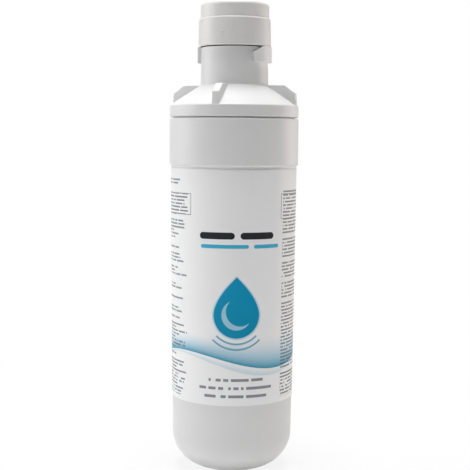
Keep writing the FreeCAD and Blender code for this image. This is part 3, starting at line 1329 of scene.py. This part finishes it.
    def lug(self, start: float) -> Piece:
        """Make one bayonet lug with a ramp across its leading upper corner.

        Args:
            start: Angle of its leading end from the front.

        Returns:
            The lug.
        """
        inner = self.neck_top_radius - self.lug_root
        outer = self.neck_top_radius + self.lug_reach
        low = self.lug_top - self.lug_height
        section = box_section(inner, outer, low, self.lug_top)
        mesh = turned(section, start, self.lug_arc, self.lug_steps)
        turn = math.radians(FRONT + start) + self.ramp_length / 2 / outer
        outwards = Vector((math.cos(turn), math.sin(turn), 0.0))
        onwards = Vector((-math.sin(turn), math.cos(turn), 0.0))
        slope = onwards * self.ramp_length + UPRIGHT * self.ramp_drop
        foot = outwards * outer - onwards * (self.ramp_length / 2)
        foot.z = self.lug_top - self.ramp_drop
        bmesh.ops.bisect_plane(
            mesh,
            geom=mesh.verts[:] + mesh.edges[:] + mesh.faces[:],
            plane_co=foot * MM,
            plane_no=outwards.cross(slope).normalized(),
            clear_outer=True,
        )
        close_up(mesh)
        rim = (outer - EDGE_SLACK) * MM
        border = [
            edge
            for edge in mesh.edges
            if edge.is_manifold
            and edge.calc_face_angle() > SHARP_ANGLE
            and all(vert.co.xy.length > rim for vert in edge.verts)
        ]
        soften(mesh, border, self.lug_round)
        return piece_from(mesh, "lug")

    def window(self, middle: float) -> Piece:
        """Make the cutter of one inlet window.

        Args:
            middle: Angle of the window's middle from the front.

        Returns:
            The cutter.
        """
        inner = (self.boss_bore + self.boss_wall + self.spigot_bore) / 2
        outer = self.lower_seat.reach
        low = self.lug_top + self.window_rise - self.window_height / 2
        section = box_section(inner, outer, low, low + self.window_height)
        start = middle - self.window_arc / 2
        cutter = turned(section, start, self.window_arc, self.window_steps)
        return piece_from(cutter, "window")

    def build(self) -> list[Piece]:
        """Build the head in one piece.

        Returns:
            The head alone.
        """
        head = self.shell()
        added = [self.rib(angle) for angle in around(self.rib_count, self.rib_phase)]
        added += [self.lug(angle) for angle in around(self.lug_count, self.lug_start)]
        carve(head, added, Carving.JOIN)
        carve(head, [self.window(angle) for angle in around(self.window_count)], Carving.CUT)
        return [head]

    def dress(self, pieces: list[Piece]) -> None:
        """Finish the head in white."""
        fit(pieces[0], WHITE_HOUSING, Body.HOUSING, "upper_housing")


@dataclass
class SpigotSeals(SubAssembly):
    """The two O-rings on the spigot, under the cover."""

    head: Head
    section_steps: int = 32

    def ring(self, seat: SealSeat, foot: float) -> Piece:
        """Turn a ring of round section.

        Args:
            seat: The seat that it lies in.
            foot: Height that the seat's rise is counted from.

        Returns:
            The ring.
        """
        spot = Vector((seat.ring_radius, 0.0, foot + seat.rise)) * MM
        lay = Matrix.Translation(spot) @ Matrix.Rotation(math.pi / 2, 4, "X")
        mesh = bmesh.new()
        thick = seat.section * MM / 2
        bmesh.ops.create_circle(mesh, segments=self.section_steps, radius=thick, matrix=lay)
        sweep(mesh)
        return piece_from(mesh, seat.node.replace("_ring", ""))

    def build(self) -> list[Piece]:
        """Make a ring for each groove."""
        lower, upper = self.head.lower_seat, self.head.upper_seat
        return [self.ring(lower, self.head.neck_top), self.ring(upper, self.head.stage_step)]

    def dress(self, pieces: list[Piece]) -> None:
        """Finish the rings in black rubber."""
        for piece, seat in zip(pieces, (self.head.lower_seat, self.head.upper_seat)):
            fit(piece, BLACK_SEAL, Body.HOUSING, seat.node)


@dataclass
class Cover(SubAssembly):
    """The stepped cover that pulls off the spigot."""

    head: Head
    wall: float = 1.4
    draft: float = 1.36
    seal_gap: float = 0.25
    head_gap: float = 0.9
    crown_round: float = 1.8
    ledge_round: float = 0.9
    lip_round: float = 0.7
    inner_round: float = 0.3
    pip_angle: float = -19.9
    pip_rise: float = 6.35
    pip_size: float = 0.55
    pip_detail: int = 3

    def pip(self, radius: float, height: float) -> Piece:
        """Make the small moulded pip on the skirt.

        Args:
            radius: Distance of its middle from the axis.
            height: Height of its middle.

        Returns:
            The pip.
        """
        turn = math.radians(FRONT + self.pip_angle)
        spot = Vector((radius * math.cos(turn), radius * math.sin(turn), height)) * MM
        mesh = bmesh.new()
        size, lay = self.pip_size * MM, Matrix.Translation(spot)
        bmesh.ops.create_icosphere(mesh, subdivisions=self.pip_detail, radius=size, matrix=lay)
        return piece_from(mesh, "pip")

    def build(self) -> list[Piece]:
        """Turn the cover and set the pip on it.

        Returns:
            The cover alone.
        """
        spread = math.tan(math.radians(self.draft))
        low = self.head.lug_top
        roof = self.head.spigot_top + self.head_gap
        crown = roof + self.wall
        bore_step = self.head.stage_step + self.head_gap
        ledge = bore_step + self.wall
        crown_bore = self.head.upper_seat.reach + self.seal_gap
        skirt_bore = self.head.lower_seat.reach + self.seal_gap
        crown_spread = (roof - bore_step) * spread
        skirt_spread = (bore_step - low) * spread
        profile = [
            Corner(0.0, roof),
            Corner(crown_bore, roof, self.inner_round),
            Corner(crown_bore + crown_spread, bore_step),
            Corner(skirt_bore, bore_step, self.inner_round),
            Corner(skirt_bore + skirt_spread, low),
            Corner(skirt_bore + skirt_spread + self.wall, low, self.lip_round),
            Corner(skirt_bore + self.wall, ledge, self.ledge_round),
            Corner(crown_bore + crown_spread + self.wall, ledge),
            Corner(crown_bore + self.wall, crown, self.crown_round),
            Corner(0.0, crown),
        ]
        cover = piece_from(turned(profile), "cover_cap")
        pip_radius = skirt_bore + self.wall + skirt_spread * (1.0 - self.pip_rise / (ledge - low))
        carve(cover, [self.pip(pip_radius, low + self.pip_rise)], Carving.JOIN)
        return [cover]

    def dress(self, pieces: list[Piece]) -> None:
        """Finish the cover in white and let it lift."""
        fit(pieces[0], WHITE_COVER, Body.COVER, "protective_cover")


@dataclass
class FilterElement(SubAssembly):
    """The element inside the housings, shown by the frame's own nodes."""

    finishes: dict[str, Finish] = field(default_factory=lambda: {
        "carbon_block": CARBON,
        "prefilter_wrap": FLEECE,
        "inner_fleece": FLEECE,
        "top_end_cap": NATURAL_CAP,
        "bottom_end_cap": NATURAL_CAP,
        "lower_outlet_seal": BLACK_SEAL,
        "upper_outlet_seal": BLACK_SEAL,
        "top_potting": AMBER_MELT,
        "bottom_potting": AMBER_MELT,
    })

    def build(self) -> list[Piece]:
        """Take the nodes as they are."""
        return [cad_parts[node] for node in self.finishes]

    def dress(self, pieces: list[Piece]) -> None:
        """Give each node its finish."""
        for piece, finish in zip(pieces, self.finishes.values()):
            coat(piece, finish)


@dataclass(frozen=True)
class SoftBox:
    """A soft area lamp, in metres and watts."""

    name: str
    spot: Triple
    width: float
    height: float
    power: float
    colour: Triple = (1.0, 1.0, 1.0)

    def build(self, target: Vector) -> None:
        """Hang the lamp.

        Args:
            target: The place that it is turned to.
        """
        lamp = bpy.data.lights.new(self.name, "AREA")
        lamp.shape = "RECTANGLE"
        lamp.size = self.width
        lamp.size_y = self.height
        lamp.energy = self.power
        lamp.color = self.colour
        holder = bpy.data.objects.new(self.name, lamp)
        holder.location = self.spot
        holder.rotation_euler = (target - Vector(self.spot)).to_track_quat("-Z", "Y").to_euler()
        bpy.context.scene.collection.objects.link(holder)


@dataclass
class Studio:
    """A pale floor, a white surround and soft lamps."""

    floor_size: float = 6.0
    floor_gap: float = 0.0002
    floor_cells: int = 8
    floor_colour: Colour = paint(249, 249, 249)
    floor_shade: float = 0.15
    shade_near: float = 0.08
    shade_far: float = 0.3
    ambient: float = 0.135
    target: Triple = (0.0, 0.0, 0.13)
    lamps: tuple[SoftBox, ...] = (
        SoftBox("left_lamp", (-0.9, 0.1, 0.36), 0.6, 0.5, 3.4),
        SoftBox("right_lamp", (1.0, 0.45, 0.09), 0.7, 0.6, 4.2, (1.0, 0.88, 0.8)),
        SoftBox("front_lamp", (-0.12, -0.36, 0.01), 0.4, 0.06, 0.15),
        SoftBox("top_lamp", (0.0, -0.05, 1.25), 0.5, 0.5, 13.1),
    )

    def seen(self, board: Board) -> Wire:
        """Tell the rays that show the surround from those that light the object."""
        ray = board.add("ShaderNodeLightPath", output="Is Camera Ray")
        return ray.most(ray.beside("Is Glossy Ray")).most(ray.beside("Is Transmission Ray"))

    def floor(self) -> None:
        """Lay the floor, white to the eye but for the object's shadow close by."""
        mesh = bmesh.new()
        cells, size = self.floor_cells, self.floor_size / 2
        bmesh.ops.create_grid(mesh, x_segments=cells, y_segments=cells, size=size)
        bmesh.ops.translate(mesh, verts=mesh.verts[:], vec=(0.0, 0.0, -self.floor_gap))
        floor = piece_from(mesh, "floor")
        made = bpy.data.materials.new("floor_white")
        made.use_nodes = True
        board = Board(made.node_tree)
        reach = board.add("ShaderNodeVectorMath", {0: board.place()}, "Value", operation="LENGTH")
        shade = self.floor_shade * (1.0 - board.ease(self.shade_near, self.shade_far, reach))
        matt = board.add("ShaderNodeBsdfDiffuse", {"Color": self.floor_colour})
        glow = board.add("ShaderNodeEmission", {"Color": PURE_WHITE, "Strength": 1.0})
        share = self.seen(board) * (1.0 - shade)
        mixed = board.add("ShaderNodeMixShader", {0: share, 1: matt, 2: glow})
        board.close("ShaderNodeOutputMaterial", mixed)
        floor.data.materials.append(made)

    def surround(self) -> None:
        """Make the world white to the eye and soft on the object."""
        world = bpy.data.worlds.new("studio")
        world.use_nodes = True
        bpy.context.scene.world = world
        board = Board(world.node_tree)
        strength = self.ambient + (1.0 - self.ambient) * self.seen(board)
        sky = board.add("ShaderNodeBackground", {"Color": PURE_WHITE, "Strength": strength})
        board.close("ShaderNodeOutputWorld", sky)

    def build(self) -> None:
        """Set up the floor, the surround and the lamps."""
        self.floor()
        self.surround()
        for lamp in self.lamps:
            lamp.build(Vector(self.target))
        bpy.context.scene.view_settings.view_transform = "Standard"


@dataclass
class StudioCamera:
    """A camera on a stand in front of the object, slightly above its middle."""

    spot: Triple = (0.0, -0.572, 0.1717)
    pitch: float = 5.04
    yaw: float = 0.093
    roll: float = 0.47
    focal_pixels: float = 1100.0
    frame_pixels: float = 470.0
    sensor: float = 36.0
    near: float = 0.01

    def build(self) -> None:
        """Place the camera and make it the scene's own."""
        lens = bpy.data.cameras.new("camera")
        lens.sensor_width = self.sensor
        lens.lens = self.sensor * self.focal_pixels / self.frame_pixels
        lens.clip_start = self.near
        stand = bpy.data.objects.new("camera", lens)
        pitch = math.radians(self.pitch)
        yaw = math.radians(self.yaw)
        level = math.cos(pitch)
        ahead = Vector((math.sin(yaw) * level, math.cos(yaw) * level, -math.sin(pitch)))
        turn = ahead.to_track_quat("-Z", "Y") @ Quaternion(UPRIGHT, math.radians(self.roll))
        stand.location = self.spot
        stand.rotation_euler = turn.to_euler()
        bpy.context.scene.collection.objects.link(stand)
        bpy.context.scene.camera = stand


def main() -> None:
    """Build every sub-assembly, then the studio and the camera."""
    logging.basicConfig(level=logging.INFO, format="%(message)s")
    can = Can()
    head = Head(can)
    for assembly in (can, WrapLabel(can), head, SpigotSeals(head), Cover(head), FilterElement()):
        pieces = assembly.build()
        assembly.dress(pieces)
        for piece in pieces:
            faces = len(piece.data.polygons)
            LOG.info("%s: %s, %d faces", type(assembly).__name__, piece.name, faces)
    Studio().build()
    StudioCamera().build()


if __name__ == "__main__":
    main()
